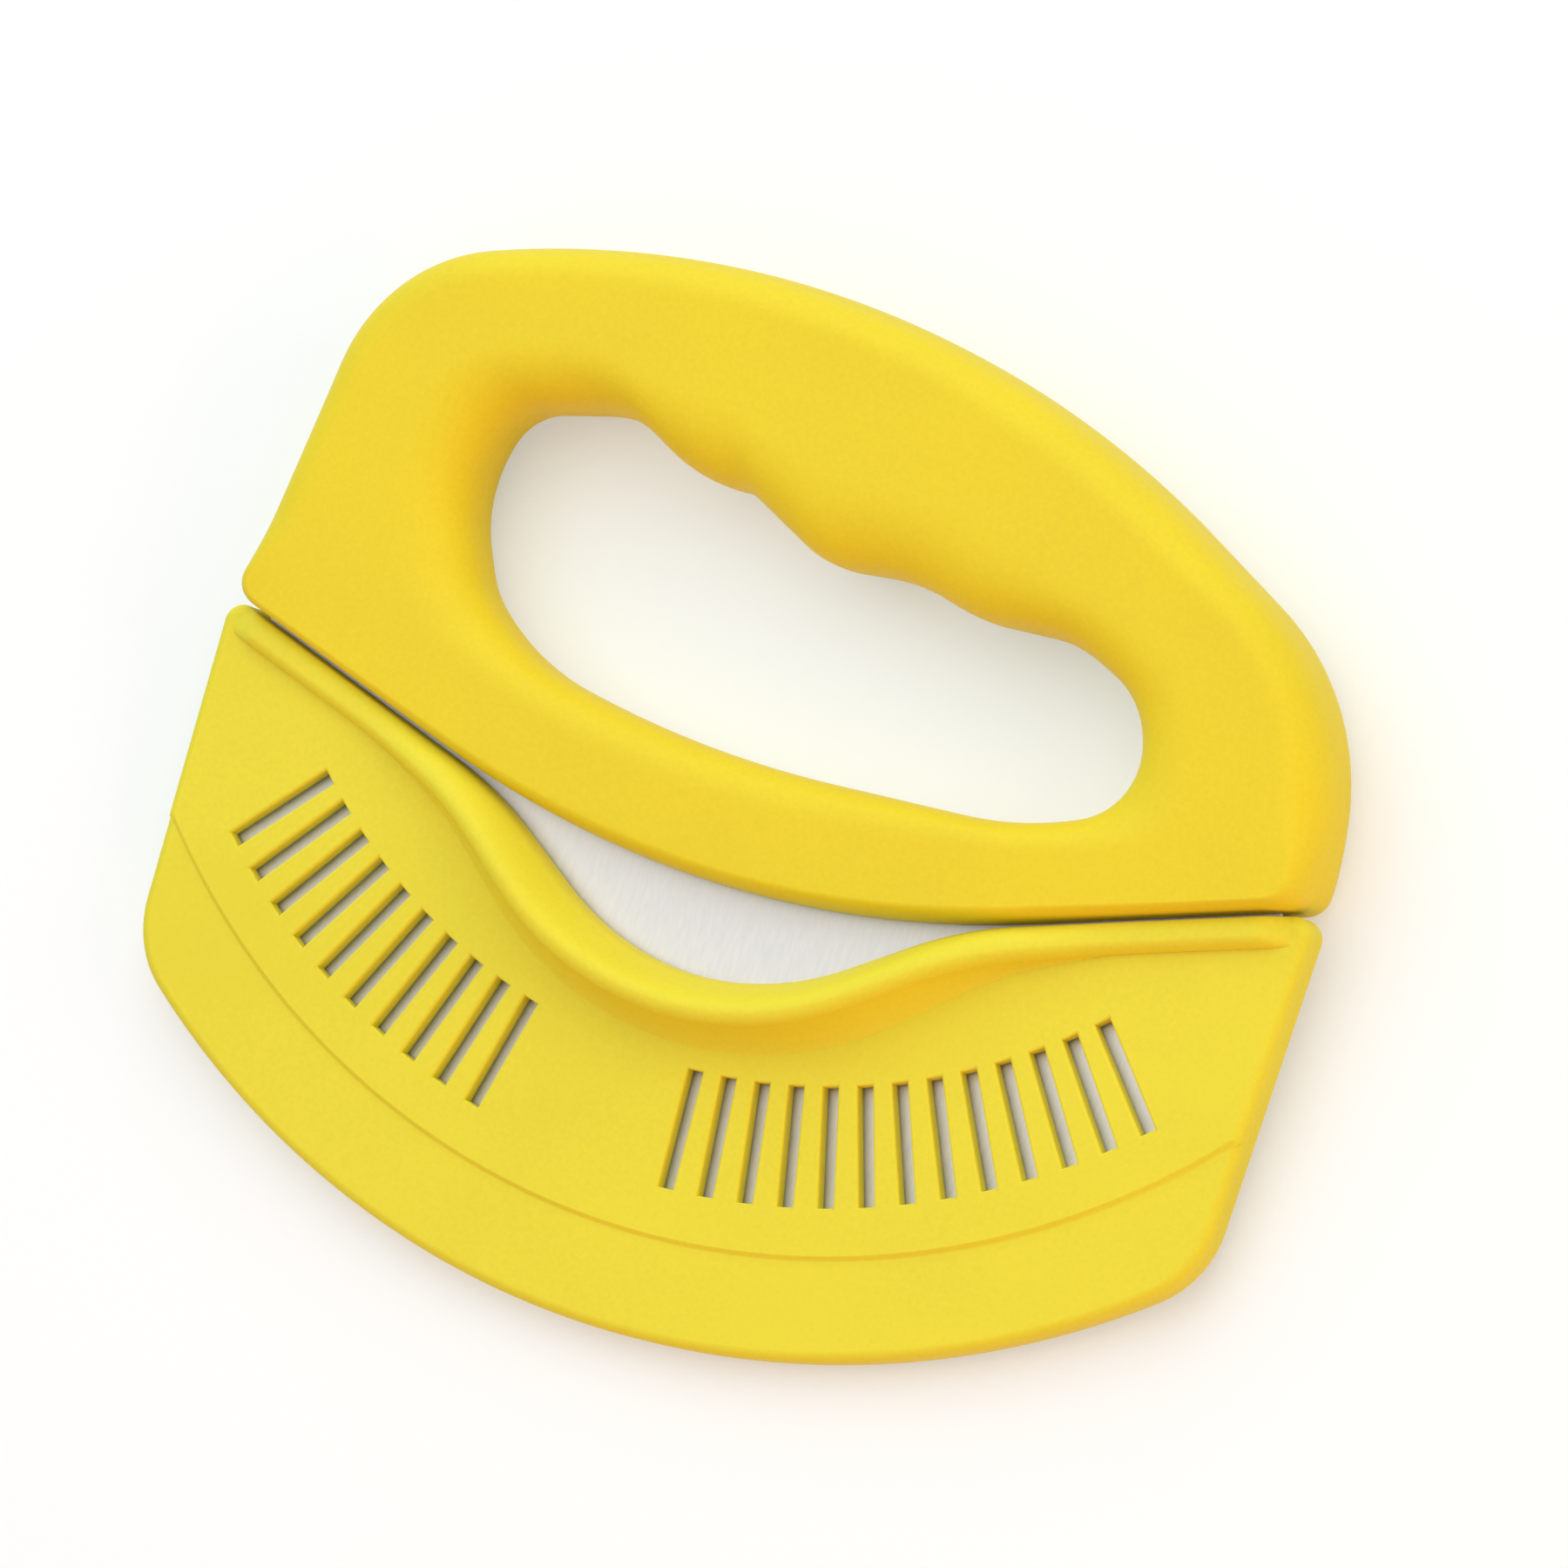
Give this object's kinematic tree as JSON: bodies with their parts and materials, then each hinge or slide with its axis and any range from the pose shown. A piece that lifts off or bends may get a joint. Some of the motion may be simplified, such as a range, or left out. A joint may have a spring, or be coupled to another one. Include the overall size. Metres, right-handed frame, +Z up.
{
  "type": "rocker pizza cutter",
  "caption": "Rocker pizza cutter with a curved steel blade, a closed ring handle with finger hollows, and a slide-on blade guard with drying slots.",
  "frame": {"origin": "middle of the footprint on the surface that the tool lies on, on its back", "axes": "+X across the blade, +Y from the guard's lower edge to the grip, +Z up out of the front face"},
  "size_m": [0.1784, 0.1532, 0.0254],
  "materials": {
    "blade_steel": "satin",
    "handle_plastic": "satin",
    "guard_plastic": "satin",
    "screw_steel": "zinc plated"
  },
  "bodies": {
    "cutter": {"blade": "blade_steel", "handle_front_shell": "handle_plastic", "handle_rear_shell": "handle_plastic", "handle_screw_1": "screw_steel", "handle_screw_2": "screw_steel", "handle_screw_3": "screw_steel", "handle_screw_4": "screw_steel", "handle_screw_5": "screw_steel", "handle_screw_6": "screw_steel"},
    "guard": {"guard_front_shell": "guard_plastic", "guard_rear_shell": "guard_plastic"}
  },
  "joints": [
    {"name": "guard_slide", "type": "slide", "parent": "cutter", "child": "guard", "axis": [0, -0.998, -0.0628], "range_m": [0, 0.07]}
  ]
}
